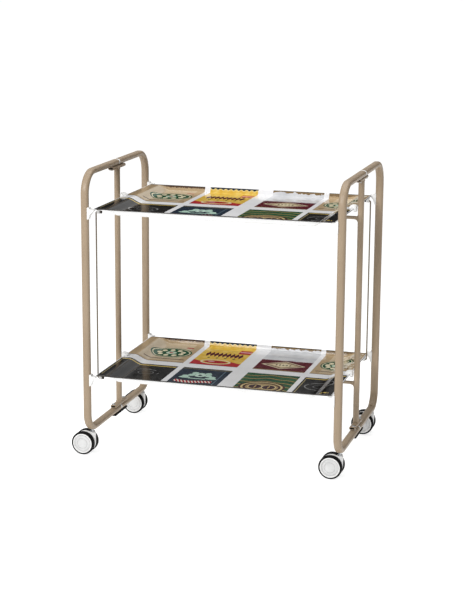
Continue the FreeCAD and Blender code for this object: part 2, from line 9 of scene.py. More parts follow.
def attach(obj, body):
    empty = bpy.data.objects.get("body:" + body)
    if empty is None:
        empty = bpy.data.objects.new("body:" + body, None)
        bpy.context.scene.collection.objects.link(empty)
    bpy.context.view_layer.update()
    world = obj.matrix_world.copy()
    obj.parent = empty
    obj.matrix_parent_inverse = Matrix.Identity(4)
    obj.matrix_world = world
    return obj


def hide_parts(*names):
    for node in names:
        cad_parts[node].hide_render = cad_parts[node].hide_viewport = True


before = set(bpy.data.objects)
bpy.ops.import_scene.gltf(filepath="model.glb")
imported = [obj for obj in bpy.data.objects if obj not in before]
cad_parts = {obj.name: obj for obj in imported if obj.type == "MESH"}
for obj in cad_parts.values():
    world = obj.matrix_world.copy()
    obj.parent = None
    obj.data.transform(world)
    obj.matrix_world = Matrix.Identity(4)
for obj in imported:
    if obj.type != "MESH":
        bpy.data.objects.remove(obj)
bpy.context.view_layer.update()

# All lengths are in metres. MID is the X of the cart's middle plane.
MID = 0.0195
SIDES = (("left", -1), ("right", 1))
ENDS = (("front", -1), ("rear", 1))
X_AXIS = Vector((1, 0, 0))
Y_AXIS = Vector((0, 1, 0))
Z_AXIS = Vector((0, 0, 1))

# Half frames: flat-oval tube, its bends and the gap between the arm ends.
SIDE_X = 0.315
POST_Y = 0.218
LEG_HALF = 0.010
LEG_RISE = 0.00725
TOP_Z = 0.7075
LOW_Z = 0.068
TOP_BEND = 0.052
LOW_BEND = 0.042
ARM_END = 0.0035
PLUG_SEAT = 0.0004
BRACKET_OUT = 0.0081
BRACKET_DEEP = 0.0149

# Centre frame: masts, hinge bars, straps and cross tubes.
PIN_Y = 0.036
MAST_X = 0.313
MAST_R = 0.0075
BAR_HALF = 0.043
BAR_DROP = 0.012
BAR_WIDE = 0.008
BAR_RISE = 0.004
STRAP_HALF = 0.0085
STRAP_THICK = 0.0056
STRAP_GAP = 0.0006
CROSS_R = 0.0042

# Trays: lip heights, plan half sizes, sheet and slopes.
LIP = {"upper": 0.622, "lower": 0.208}
PIVOT_DROP = 0.023
HALF_X = 0.2965
HALF_Y = 0.2083
SHEET = 0.002
CORNER = 0.004
LIP_FLAT = 0.022
SLOPE = 0.036
RIM_RUN = 0.010
DROP = 0.013
PRINT_HALF_Y = 206.0
CLIP_INSET = 0.0342
CLIP_LONG = 0.0115
LUG_HALF = 0.0048
LUG_DROP = 0.009

# Link rods.
ROD_R = 0.0018
ROD_X = 0.2988
ROD_Y = 0.186
ROD_DROP = 0.011
ROD_BEND = 0.0030
ROD_REACH = 0.0158

# Casters.
STEM_Y = 0.186
TRAIL = 0.020
WHEEL_R = 0.029
WHEEL_GAP = 0.0071
WHEEL_W = 0.013
TREAD_SEAT = 0.0247
TREAD_CROWN = 0.0266
TREAD_ROUND = 0.0024


# ---------------------------------------------------------------- materials
class Shader:
    """Thin wrapper that builds a Principled material from nodes."""

    def __init__(self, name, roughness=0.5, metallic=0.0, specular=0.5):
        self.material = bpy.data.materials.new(name)
        self.material.use_nodes = True
        self.tree = self.material.node_tree
        self.bsdf = self.tree.nodes["Principled BSDF"]
        self.bsdf.inputs["Roughness"].default_value = roughness
        self.bsdf.inputs["Metallic"].default_value = metallic
        self.bsdf.inputs["Specular IOR Level"].default_value = specular
        self.coordinate = self.node("ShaderNodeTexCoord").outputs["Object"]

    def node(self, kind, **settings):
        made = self.tree.nodes.new(kind)
        for key, value in settings.items():
            setattr(made, key, value)
        return made

    def feed(self, socket, value):
        if isinstance(value, bpy.types.NodeSocket):
            self.tree.links.new(value, socket)
        elif value is not None:
            socket.default_value = value

    def math(self, operation, a, b=None, c=None):
        made = self.node("ShaderNodeMath", operation=operation)
        for socket, value in zip(made.inputs, (a, b, c)):
            self.feed(socket, value)
        return made.outputs[0]

    def vector(self, operation, a, b=None, c=None):
        made = self.node("ShaderNodeVectorMath", operation=operation)
        for socket, value in zip(made.inputs, (a, b, c)):
            self.feed(socket, value)
        scalar = operation in ("LENGTH", "DOT_PRODUCT")
        return made.outputs["Value" if scalar else "Vector"]

    def mix(self, factor, a, b):
        made = self.node("ShaderNodeMix", data_type="RGBA")
        self.feed(made.inputs[0], factor)
        self.feed(made.inputs[6], a if isinstance(a, bpy.types.NodeSocket) else (*a, 1))
        self.feed(made.inputs[7], b if isinstance(b, bpy.types.NodeSocket) else (*b, 1))
        return made.outputs[2]

    def noise(self, scale, detail=2.0, stretch=None, distortion=0.0):
        made = self.node("ShaderNodeTexNoise")
        source = self.coordinate
        if stretch:
            source = self.vector("MULTIPLY", source, stretch)
        self.feed(made.inputs["Vector"], source)
        made.inputs["Scale"].default_value = scale
        made.inputs["Detail"].default_value = detail
        made.inputs["Distortion"].default_value = distortion
        return made.outputs[0]

    def remap(self, value, low, high, to_low=0.0, to_high=1.0):
        made = self.node("ShaderNodeMapRange")
        for socket, number in zip(made.inputs, (value, low, high, to_low, to_high)):
            self.feed(socket, number)
        return made.outputs[0]

    def mottle(self, scale, detail, low=0.0, high=1.0):
        """Noise stretched to run smoothly from one number to another."""
        return self.remap(self.noise(scale, detail), 0.3, 0.7, low, high)

    def bump(self, height, distance, strength):
        made = self.node("ShaderNodeBump")
        self.feed(made.inputs["Height"], height)
        made.inputs["Distance"].default_value = distance
        made.inputs["Strength"].default_value = strength
        self.feed(self.bsdf.inputs["Normal"], made.outputs[0])

    def colour(self, value):
        self.feed(self.bsdf.inputs["Base Color"],
                  value if isinstance(value, bpy.types.NodeSocket) else (*value, 1))

    def rough(self, value):
        self.feed(self.bsdf.inputs["Roughness"], value)


def frame_paint():
    """Taupe powder coat: orange-peel bump, faint tone drift and dust."""
    s = Shader("taupe_powder_coat")
    drift = s.remap(s.noise(9.0, 3.0), 0.35, 0.7)
    tone = s.mix(drift, (0.312, 0.232, 0.152), (0.342, 0.257, 0.171))
    dust = s.remap(s.noise(1400.0), 0.55, 0.8, 0.0, 0.3)
    s.colour(s.mix(dust, tone, (0.38, 0.295, 0.205)))
    s.rough(s.mottle(60.0, 3.0, 0.36, 0.50))
    s.bump(s.noise(900.0), 0.00012, 0.35)
    return s.material


def drawn_metal(name, lines, tones, rough, distance, strength, metallic):
    """Metal with faint lines along Z, as on drawn wire or turned pins."""
    s = Shader(name, metallic=metallic)
    streak = s.noise(lines[0], 3.0, stretch=(1.0, 1.0, lines[1]))
    s.colour(s.mix(streak, *tones))
    s.rough(s.remap(streak, 0.3, 0.7, *rough))
    s.bump(streak, distance, strength)
    return s.material


def moulded(name, drift, tones, rough, grain, distance, strength, specular=0.5):
    """Moulded plastic or rubber: tone drift, uneven gloss and a fine grain."""
    s = Shader(name, specular=specular)
    scale, detail, low, high, top = drift
    s.colour(s.mix(s.remap(s.noise(scale, detail), low, high, 0.0, top), *tones))
    s.rough(s.mottle(*rough))
    s.bump(s.noise(*grain), distance, strength)
    return s.material


def tray_white():
    """Underside and margins of the tray sheet, white, with painted shade: grey where the sheet
    faces straight down under the floor.
    """
    s = Shader("tray_white_backing")
    drift = s.mottle(14.0, 3.0)
    white = s.mix(drift, (0.80, 0.80, 0.795), (0.85, 0.85, 0.845))
    painted_underside_shade = s.mix(drift, (0.41, 0.41, 0.40), (0.47, 0.47, 0.46))
    facing = s.node("ShaderNodeSeparateXYZ")
    s.feed(facing.inputs[0], s.node("ShaderNodeTexCoord").outputs["Normal"])
    # Painted shade: faces that point straight down turn grey instead of white.
    s.colour(s.mix(s.remap(facing.outputs[2], -0.985, -0.955, 1.0, 0.0), white, painted_underside_shade))
    s.rough(s.mottle(120.0, 3.0, 0.24, 0.38))
    s.bump(s.noise(700.0), 0.00005, 0.3)
    return s.material


def tray_edge():
    """Dark pressed core that shows along the cut edge of the sheet."""
    s = Shader("tray_cut_edge")
    layers = s.noise(60.0, 3.0, stretch=(1.0, 1.0, 40.0))
    s.colour(s.mix(layers, (0.012, 0.010, 0.009), (0.045, 0.038, 0.032)))
    s.rough(s.remap(layers, 0.3, 0.7, 0.42, 0.6))
    s.bump(layers, 0.00008, 0.4)
    return s.material


class Print(Shader):
    """Printed tray face: flat ornaments on a white ground, in millimetres."""

    def __init__(self, name):
        super().__init__(name)
        self.bsdf.inputs["IOR"].default_value = 1.3
        self.point = self.vector("MULTIPLY_ADD", self.coordinate,
                                 (1000, PRINT_HALF_Y / HALF_Y, 0), (-MID * 1000, 0, 0))
        split = self.node("ShaderNodeSeparateXYZ")
        self.feed(split.inputs[0], self.point)
        self.u = split.outputs[0]
        self.v = split.outputs[1]
        self.ink = None

    def band(self, axis, low, high):
        return self.math("COMPARE", axis, (low + high) / 2, (high - low) / 2)

    def rect(self, u0, u1, v0, v1):
        return self.math("MULTIPLY", self.band(self.u, u0, u1), self.band(self.v, v0, v1))

    def radius(self, u, v, a, b):
        gap = self.vector("SUBTRACT", self.point, (u, v, 0))
        return self.vector("LENGTH", self.vector("MULTIPLY", gap, (1 / a, 1 / b, 0)))

    def oval(self, u, v, a, b):
        return self.math("LESS_THAN", self.radius(u, v, a, b), 1.0)

    def ring(self, u, v, a, b, width):
        return self.math("COMPARE", self.radius(u, v, a, b), 1.0, width)

    def lozenge(self, u, v, a, b):
        gap = self.vector("ABSOLUTE", self.vector("SUBTRACT", self.point, (u, v, 0)))
        return self.math("LESS_THAN", self.vector("DOT_PRODUCT", gap, (1 / a, 1 / b, 0)), 1.0)

    def wave(self, axis, period, size, phase=0.0):
        """Sine of one coordinate, used to make edges and stripes wander."""
        turn = self.math("MULTIPLY_ADD", axis, 2 * math.pi / period, phase)
        return self.math("MULTIPLY", self.math("SINE", turn), size)

    def both(self, a, b):
        return self.math("MULTIPLY", a, b)

    def over(self, mask, colour):
        self.ink = self.mix(mask, self.ink, colour)


NAVY = (0.010, 0.019, 0.036)
GOLD = (0.60, 0.44, 0.12)
CREAM = (0.74, 0.66, 0.46)
MAROON = (0.085, 0.006, 0.012)
CRIMSON = (0.36, 0.012, 0.022)
MUSTARD = (0.62, 0.37, 0.035)
KRAFT = (0.385, 0.275, 0.155)
SAND = (0.49, 0.39, 0.26)
BOTTLE = (0.010, 0.060, 0.028)
LEAF = (0.030, 0.110, 0.040)
CHARCOAL = (0.006, 0.0055, 0.005)
ASH = (0.20, 0.20, 0.20)
MINT = (0.42, 0.60, 0.50)
PAPER = (0.50, 0.51, 0.53)
UMBER = (0.075, 0.040, 0.022)
ROSE = (0.62, 0.30, 0.34)
COCOA = (0.060, 0.022, 0.014)
BRASS = (0.58, 0.46, 0.22)


def tray_print():
    """Eight generic packaging-style panels in two rows of four."""
    p = Print("tray_printed_face")
    p.ink = p.mix(p.mottle(16.0, 3.0), (0.74, 0.74, 0.75), (0.80, 0.80, 0.81))
    end = HALF_X * 1000
    rim = PRINT_HALF_Y
    left, right = -end + 2.2, end - 2.2
    columns = ((left, -144), (-129, 0), (40, 175), (188, right))
    rear = (15, rim - 1.0)
    front = (-rim + 1.5, -20)
    fibre = p.noise(260.0, 4.0)
    # Shift that keeps every repeating stripe on the positive side.
    far = 600

    # Kraft sheets, rear row at both ends.
    petals = 9
    for u0, u1 in (columns[0], columns[3]):
        sheet = p.rect(u0, u1, *rear)
        p.over(sheet, p.mix(p.remap(fibre, 0.35, 0.65), KRAFT, (0.46, 0.345, 0.21)))
        inset = 24 if u0 < 0 else 22
        p.over(p.rect(u0 + inset, u1 - 20, rear[0] + 12, rear[1] - 9),
               p.mix(p.remap(fibre, 0.35, 0.7), SAND, (0.57, 0.47, 0.33)))
        crest = p.math("ADD", p.v, p.math("MULTIPLY", fibre, 4))
        p.over(p.both(p.math("GREATER_THAN", crest, rear[1] - (3 if u0 < 0 else 4)), sheet),
               UMBER if u0 < 0 else (0.20, 0.135, 0.07))
        mid = (u0 + u1) / 2 + (14 if u0 < 0 else -2)
        level = 104
        wide = 55 if u0 < 0 else 42
        p.over(p.oval(mid, level, wide, 46), (0.008, 0.075, 0.030))
        p.over(p.ring(mid, level, wide * 0.90, 41, 0.03), CREAM)
        for step in range(petals):
            angle = step * 2 * math.pi / petals + 0.3
            spot = (mid + math.cos(angle) * wide * 0.58, level + math.sin(angle) * 26)
            p.over(p.oval(*spot, 6.6, 8.4), CREAM)
        p.over(p.oval(mid, level, 14, 13), (0.50, 0.60, 0.46))
        p.over(p.oval(mid, level, 5.5, 4.5), CRIMSON)
        p.over(p.rect(mid - wide, mid + wide, 41, 46), UMBER)
        p.over(p.rect(mid - wide * 0.7, mid + wide * 0.7, 34, 36.5), KRAFT)
        p.over(p.rect(mid + wide * 0.45, mid + wide * 0.8, 158, 166), CRIMSON)

    # Pale leaf shapes near the right end of the kraft sheet.
    leaf = p.both(p.math("GREATER_THAN", p.noise(52.0, 2.0, distortion=1.2), 0.50),
                  p.rect(right - 58, right - 5, 44, rim - 12))
    p.over(leaf, (0.74, 0.68, 0.56))

    # Mustard sheet.
    u0, u1 = columns[1]
    sheet = p.rect(u0, u1, *rear)
    p.over(sheet, p.mix(p.remap(p.noise(70.0, 4.0), 0.35, 0.7), MUSTARD, (0.72, 0.52, 0.12)))
    crest = p.math("ADD", p.v, p.wave(p.u, 14, 0.8))
    p.over(p.both(p.math("GREATER_THAN", crest, 200.5), sheet), NAVY)
    p.over(p.both(p.math("COMPARE", crest, 200.0, 0.6), sheet), (0.70, 0.56, 0.22))
    base = p.math("ADD", p.v, p.wave(p.u, 96, 8, 1.2))
    p.over(p.both(p.math("LESS_THAN", base, 54), sheet),
           p.mix(p.noise(60.0, 3.0), CRIMSON, (0.46, 0.03, 0.03)))
    p.over(p.rect(u0 + 8, u1 - 8, 164, 166), (0.40, 0.24, 0.05))
    for step in range(9):
        spot = u0 + 20 + step * 11.2
        p.over(p.lozenge(spot, 124 - step * 0.9, 6.2, 24), MAROON)
        if step % 2:
            p.over(p.oval(spot, 88, 3.6, 4.4), (0.05, 0.10, 0.03))
    for wide, tall, tint in ((40, 21, CREAM), (35, 16.5, MUSTARD), (31, 13, CRIMSON)):
        p.over(p.oval(-68, 50, wide, tall), tint)
    p.over(p.oval(-80, 53, 9, 5), ROSE)
    p.over(p.rect(-34, -2, 142, 178), CRIMSON)
    p.over(p.rect(-32, -2, 156, 165), ROSE)

    # Maroon sheet under a torn paper fold.
    u0, u1 = columns[2]
    sheet = p.rect(u0, u1, *rear)
    p.over(sheet, p.mix(p.noise(40.0, 4.0), MAROON, (0.115, 0.010, 0.018)))
    tear = p.math("ADD", p.v, p.math("MULTIPLY", p.noise(90.0, 3.0), 9))
    p.over(p.both(p.math("GREATER_THAN", tear, 118), sheet),
           p.mix(p.mottle(25.0, 3.0), PAPER, (0.68, 0.68, 0.69)))
    p.over(p.both(p.math("GREATER_THAN", tear, 204.5), sheet), (0.20, 0.13, 0.06))
    for v in (150, 142):
        p.over(p.rect(u0 + 34, u1 - 34, v, v + 2.4), (0.36, 0.36, 0.38))
    centre, level = 107, 70
    for wide, tall, tint in ((58, 36, CREAM), (51, 31, MAROON), (43, 26, (0.50, 0.40, 0.24)),
                             (31, 17, (0.70, 0.62, 0.42))):
        p.over(p.lozenge(centre, level, wide, tall), tint)
    for step in range(5):
        p.over(p.lozenge(centre + (step - 2) * 9, level, 3.2, 6.5), UMBER)
    p.over(p.rect(u0, u1, rear[0], rear[0] + 7), (0.30, 0.20, 0.08))

    # Charcoal sheets, front row at both ends.
    smoke = p.noise(22.0, 4.0, distortion=1.4)
    for u0, u1 in (columns[0], columns[3]):
        sheet = p.rect(u0, u1, *front)
        p.over(sheet, p.mix(p.remap(smoke, 0.45, 0.75), CHARCOAL, (0.026, 0.025, 0.023)))
        mid = (u0 + u1) / 2 + (10 if u0 < 0 else 0)
        swirl = p.both(p.ring(mid, -98, 36, 30, 0.05), p.math("GREATER_THAN", smoke, 0.5))
        p.over(swirl, ASH)
        p.over(p.ring(mid + 4, -98, 20, 14, 0.07), (0.12, 0.12, 0.12))
        p.over(p.rect(u0 + 3, u1 - 3, -34, -28), GOLD)
        p.over(p.rect(u0 + 4, u0 + 6.5, -184, -40), (0.34, 0.28, 0.14))
        dash = p.math("PINGPONG", p.math("ADD", p.u, far), 5)
        stitch = p.math("GREATER_THAN", dash, 1.6)
        p.over(p.both(stitch, p.rect(mid - 42, mid + 42, -188, -180)), GOLD)

    # Navy sheet with a pale blossom.
    centre = -66
    u0, u1 = columns[1]
    sheet = p.rect(u0, u1, *front)
    p.over(sheet, p.mix(p.noise(30.0, 4.0), NAVY, (0.020, 0.036, 0.056)))
    for step in range(7):
        angle = math.pi * (0.02 + 0.16 * step)
        reach = 26 if step % 2 else 35
        spot = (centre + math.cos(angle) * reach, -100 + math.sin(angle) * reach * 1.05)
        p.over(p.oval(*spot, 8.5, 10), MINT)
    p.over(p.oval(centre, -84, 14, 15), (0.50, 0.66, 0.57))
    p.over(p.oval(centre, -84, 5, 6), NAVY)
    for leaf_side in (-1, 1):
        p.over(p.oval(centre + leaf_side * 34, -108, 15, 7), MINT)
    p.over(p.rect(-88, -44, -118, -112), MINT)
    slant = p.math("ADD", p.u, p.math("MULTIPLY", p.v, 0.5))
    beat = p.math("PINGPONG", p.math("ADD", slant, far), 4.5)
    ribbon = p.math("ADD", p.v, p.wave(p.u, 110, 5))
    strip = p.both(p.math("COMPARE", ribbon, -142, 8.5), p.band(p.u, u0 + 12, u1 - 22))
    p.over(strip, p.mix(p.math("GREATER_THAN", beat, 2.0), (0.74, 0.66, 0.58), CRIMSON))
    p.over(p.rect(u1 - 16, u1 - 13.5, -200, -26), (0.10, 0.15, 0.19))
    p.over(p.rect(u0, u1, -32, -27), (0.16, 0.13, 0.07))
    p.over(p.rect(u0 + 14, u1 - 30, -186, -177), (0.62, 0.66, 0.62))

    # Green sheet with wandering stripes and a double-bean oval.
    centre = 107
    u0, u1 = columns[2]
    sheet = p.rect(u0, u1, *front)
    p.over(sheet, p.mix(p.mottle(34.0, 4.0), BOTTLE, LEAF))
    drift = p.math("ADD", p.v, p.math("ADD", p.wave(p.u, 150, 7), p.wave(p.u, 58, 2.5)))
    lines = p.math("LESS_THAN", p.math("PINGPONG", p.math("ADD", drift, far), 14), 2.0)
    p.over(p.both(lines, sheet), (0.42, 0.26, 0.10))
    for wide, tall, tint in ((58, 50, COCOA), (52, 44, BRASS), (47, 39, COCOA),
                             (41, 32, (0.34, 0.24, 0.11))):
        p.over(p.both(p.oval(centre, -140, wide, tall), sheet), tint)
    for bean in (centre - 17, centre + 17):
        p.over(p.oval(bean, -138, 17, 19), (0.045, 0.016, 0.020))
        p.over(p.ring(bean, -138, 17, 19, 0.07), (0.62, 0.50, 0.26))
        p.over(p.lozenge(bean, -138, 2.6, 17), (0.40, 0.28, 0.12))
    p.over(p.both(p.rect(58, 156, -176, -160), sheet), COCOA)
    p.over(p.both(p.rect(62, 152, -171, -165), sheet), BRASS)

    # Hairlines above and below every sheet.
    for u0, u1 in columns:
        for low, high in (rear, front):
            p.over(p.rect(u0, u1, high - (3.0 if high < 0 else 2.5), high), (0.014, 0.010, 0.008))
            p.over(p.rect(u0, u1, low, low + (2.6 if low > 0 else 1.2)), (0.035, 0.026, 0.020))
    p.over(p.rect(-end, end, -rim - 2, -rim + 4.0), (0.32, 0.31, 0.29))
    p.over(p.rect(-end, end, -rim - 2, -rim + 1.6), (0.010, 0.009, 0.008))
    p.colour(p.ink)
    p.rough(p.mottle(110.0, 4.0, 0.08, 0.15))
    p.bump(p.noise(500.0), 0.00003, 0.25)
    return p.material


PAINT = frame_paint()
WIRE = drawn_metal("bronze_wire", (380.0, 0.05), ((0.120, 0.088, 0.054), (0.215, 0.165, 0.105)),
                   (0.32, 0.46), 0.00004, 0.3, 0.0)
STEEL = drawn_metal("zinc_plated_steel", (420.0, 0.06),
                    ((0.40, 0.41, 0.42), (0.62, 0.63, 0.64)), (0.24, 0.42), 0.00005, 0.4, 1.0)
WHITE = moulded("white_moulded_plastic", (30.0, 3.0, 0.35, 0.7, 1.0),
                ((0.79, 0.79, 0.78), (0.85, 0.85, 0.845)), (220.0, 2.0, 0.28, 0.42),
                (1600.0, 2.0), 0.00006, 0.3)
BLACK = moulded("black_moulded_plastic", (80.0, 3.0, 0.0, 1.0, 1.0),
                ((0.004, 0.004, 0.004), (0.014, 0.013, 0.013)), (260.0, 2.0, 0.62, 0.80),
                (1500.0, 2.0), 0.00006, 0.35, specular=0.05)
TYRE = moulded("tyre_rubber", (160.0, 4.0, 0.5, 0.8, 0.3),
               ((0.003, 0.003, 0.003), (0.012, 0.011, 0.011)), (90.0, 3.0, 0.55, 0.75),
               (1100.0, 3.0), 0.00010, 0.5, specular=0.12)
GREY = moulded("pale_grey_hub", (45.0, 3.0, 0.3, 0.7, 1.0),
               ((0.58, 0.58, 0.58), (0.68, 0.68, 0.675)), (200.0, 2.0, 0.30, 0.44),
               (1300.0, 2.0), 0.00005, 0.3)
BACKING = tray_white()
EDGE = tray_edge()
PRINTED = tray_print()


# ------------------------------------------------------------- mesh helpers
def ring_points(side, up, count):
    """Unit directions round a circle spanned by two vectors."""
    turns = [2 * math.pi * step / count for step in range(count)]
    return [side * math.cos(angle) + up * math.sin(angle) for angle in turns]


def join_rings(data, first, second):
    """Quads between two rings with the same number of points."""
    count = len(first)
    for step in range(count):
        after = (step + 1) % count
        data.faces.new((first[step], first[after], second[after], second[step]))


def close_tube(data, rings):
    """Skin a row of rings and cap both ends."""
    for first, second in zip(rings, rings[1:]):
        join_rings(data, first, second)
    data.faces.new(rings[0][::-1])
    data.faces.new(rings[-1])


def chords(points):
    """Direction at each point of a polyline, taken across its neighbours."""
    last = len(points) - 1
    return [(points[min(index + 1, last)] - points[max(index - 1, 0)]).normalized()
            for index in range(len(points))]


def soften_edges(piece, width=0.0006, angle=None):
    """Small live bevel on the sharp edges of a moulded piece."""
    rounding = piece.modifiers.new("round", "BEVEL")
    rounding.width = width
    rounding.segments = 2
    rounding.limit_method = "ANGLE"
    if angle is not None:
        rounding.angle_limit = angle


def new_object(name, mesh_data, materials, smooth=True):
    """Turn a bmesh into an object with outward normals."""
    bmesh.ops.recalc_face_normals(mesh_data, faces=mesh_data.faces)
    mesh = bpy.data.meshes.new(name)
    mesh_data.to_mesh(mesh)
    mesh_data.free()
    piece = bpy.data.objects.new(name, mesh)
    bpy.context.scene.collection.objects.link(piece)
    for material in materials:
        mesh.materials.append(material)
    if smooth:
        mesh.polygons.foreach_set("use_smooth", [True] * len(mesh.polygons))
        mesh.set_sharp_from_angle(angle=math.radians(38))
    return piece


def settle(piece, body, slot, *nodes):
    """Ride on a body and stand for CAD nodes; the slot is not used."""
    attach(piece, body)
    if nodes:
        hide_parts(*nodes)
    return piece


def frame_of(axis):
    """Two unit vectors square to an axis."""
    side = Z_AXIS.cross(axis) if abs(axis.z) < 0.9 else X_AXIS.cross(axis)
    side.normalize()
    return side, axis.cross(side).normalized()


POLE = 1e-7
MERGE = 0.00001


def add_lathe(data, profile, centre, axis, segments):
    """Revolve a closed (radius, along) profile; zero radii become poles."""
    side, up = frame_of(axis)
    rings = []
    for radius, along in profile:
        base = centre + axis * along
        if radius < POLE:
            rings.append([data.verts.new(base)])
            continue
        rings.append([data.verts.new(base + way * radius)
                      for way in ring_points(side, up, segments)])
    for first, second in zip(rings, rings[1:] + rings[:1]):
        if len(first) == 1 and len(second) == 1:
            continue
        for step in range(segments):
            after = (step + 1) % segments
            corners = [first[step % len(first)], first[after % len(first)],
                       second[after % len(second)], second[step % len(second)]]
            unique = list(dict.fromkeys(corners))
            if len(unique) > 2:
                data.faces.new(unique)


def add_sweep(data, points, radius, segments):
    """Closed round tube along a polyline, with parallel frames."""
    tangents = chords(points)
    side, up = frame_of(tangents[0])
    rings = []
    for index, point in enumerate(points):
        if index:
            turn = tangents[index - 1].rotation_difference(tangents[index])
            side = turn @ side
            up = turn @ up
        rings.append([data.verts.new(point + way * radius)
                      for way in ring_points(side, up, segments)])
    close_tube(data, rings)


def flat_oval(half_width, half_rise, steps=12):
    """Outline of a flat-oval tube: two half circles joined by flats."""
    reach = half_width - half_rise
    outline = []
    for centre, start in ((reach, -math.pi / 2), (-reach, math.pi / 2)):
        for step in range(steps + 1):
            angle = start + math.pi * step / steps
            outline.append((centre + half_rise * math.cos(angle), half_rise * math.sin(angle)))
    return outline


def add_oval_sweep(data, points, outline, scales=None):
    """Sweep an outline that stays wide along X along a path in the YZ plane."""
    rings = []
    for point, chord, scale in zip(points, chords(points), scales or [1.0] * len(points)):
        lift = chord.cross(X_AXIS)
        rings.append([data.verts.new(point + X_AXIS * a * scale + lift * b * scale)
                      for a, b in outline])
    close_tube(data, rings)


def add_box(data, low, high, bevel, segments=3):
    """Box between two corners with rounded edges."""
    made = bmesh.ops.create_cube(data, size=1.0)
    size = Vector(high) - Vector(low)
    middle = (Vector(high) + Vector(low)) / 2
    for vert in made["verts"]:
        vert.co = Vector([c * s for c, s in zip(vert.co, size)]) + middle
    edges = dict.fromkeys(edge for vert in made["verts"] for edge in vert.link_edges)
    bmesh.ops.bevel(data, geom=list(edges), offset=bevel, segments=segments,
                    profile=0.5, affect="EDGES")


def add_prism(data, outline, thickness, plane):
    """Extrude a closed outline; plane maps (a, b, depth) to a point."""
    front = [data.verts.new(plane(a, b, 0.0)) for a, b in outline]
    back = [data.verts.new(plane(a, b, thickness)) for a, b in outline]
    data.faces.new(front)
    data.faces.new(back[::-1])
    count = len(outline)
    for index in range(count):
        after = (index + 1) % count
        data.faces.new((front[index], back[index], back[after], front[after]))


def arc(centre, radius, start, stop, steps):
    """Points of an arc as flat pairs, both ends included."""
    result = []
    for step in range(steps + 1):
        angle = start + (stop - start) * step / steps
        result.append((centre[0] + radius * math.cos(angle),
                       centre[1] + radius * math.sin(angle)))
    return result


def fused(name, data, materials, voxel, rounds=6):
    """Weld overlapping shells into one moulded form by voxel remesh."""
    piece = new_object(name, data, materials)
    remesh = piece.modifiers.new("weld", "REMESH")
    remesh.mode = "VOXEL"
    remesh.voxel_size = voxel
    soften = piece.modifiers.new("soften", "SMOOTH")
    soften.factor = 0.5
    soften.iterations = rounds
    bpy.context.view_layer.update()
    graph = bpy.context.evaluated_depsgraph_get()
    mesh = bpy.data.meshes.new_from_object(piece.evaluated_get(graph))
    piece.modifiers.clear()
    piece.data = mesh
    mesh.polygons.foreach_set("use_smooth", [True] * len(mesh.polygons))
    return piece


# --------------------------------------------------------------- half frames
def leg_path(side, end):
    """Centre line of one C-shaped half frame, from top arm end to low arm end."""
    x = MID + side * SIDE_X
    stations = (ARM_END + PLUG_SEAT, 0.03, 0.06, 0.10, 0.14)
    line = [(y, TOP_Z) for y in stations]
    line += arc((POST_Y - TOP_BEND, TOP_Z - TOP_BEND), TOP_BEND, math.pi / 2, 0, 18)
    line += [(POST_Y, z) for z in (0.56, 0.46, 0.36, 0.26, 0.17)]
    line += arc((POST_Y - LOW_BEND, LOW_Z + LOW_BEND), LOW_BEND, 0, -math.pi / 2, 16)
    line += [(y, LOW_Z) for y in reversed(stations)]
    return [Vector((x, end * y, z)) for y, z in line]


def dome_cap(data, radius, thick, centre, axis, edge):
    """Low rounded cap, used for plugs and rivet heads."""
    profile = [(0.0, 0.0), (radius, 0.0)]
    profile += arc((radius - edge, thick - edge), edge, 0, math.pi / 2, 4)
    profile.append((radius * 0.5, thick * 1.02))
    profile.append((0.0, thick * 1.04))
    add_lathe(data, profile, centre, axis, 40)


def half_frame(side_name, side, end_name, end):
    """Bent tube with its plugs, tray brackets and caster."""
    name = side_name + "_" + end_name
    body = name + "_half_frame"
    x = MID + side * SIDE_X
    data = bmesh.new()
    add_oval_sweep(data, leg_path(side, end), flat_oval(LEG_HALF, LEG_RISE))
    settle(new_object(name + "_bent_tube", data, [PAINT]), body, "frame_paint", name + "_leg")

    data = bmesh.new()
    for z in (TOP_Z, LOW_Z):
        stations = (0.0100, ARM_END + PLUG_SEAT, ARM_END + 0.0002, 0.0024, 0.0018, 0.0015)
        scales = (0.80, 0.80, 0.995, 0.98, 0.90, 0.74)
        add_oval_sweep(data, [Vector((x, end * y, z)) for y in stations],
                       flat_oval(LEG_HALF, LEG_RISE), scales)
    settle(new_object(name + "_arm_plugs", data, [WHITE]), body, "white_plastic",
           name + "_end_plugs")
    tray_bracket(name, side, end)
    caster(name, side, end)


def tray_bracket(name, side, end):
    """Moulded corner brackets on the post: ear, ledge and curved gusset."""
    x = MID + side * SIDE_X
    outer = POST_Y + BRACKET_OUT
    data = bmesh.new()
    for lip in LIP.values():
        top = lip + 0.0049
        outline = [(0.0076, top - 0.0010), (0.0084, top), (0.0120, top), (0.0132, top - 0.0012),
                   (0.0138, lip + 0.0012), (0.0190, lip + 0.0001), (0.0245, lip - 0.0002),
                   (0.0250, lip - 0.0019)]
        for step in range(1, 9):
            t = step / 9
            outline.append((0.0250 - 0.0130 * t - 0.0026 * math.sin(math.pi * t),
                            lip - 0.0019 - 0.0205 * t))
        outline += [(0.0116, lip - 0.0236), (0.0084, lip - 0.0240), (0.0076, lip - 0.0230)]

        def plane(a, b, depth):
            return Vector((x - side * a, end * (outer - depth), b))

        add_prism(data, outline, BRACKET_DEEP, plane)
    piece = new_object(name + "_corner_brackets", data, [WHITE])
    soften_edges(piece, angle=math.radians(40))
    settle(piece, name + "_half_frame", "white_plastic", name + "_tray_brackets")


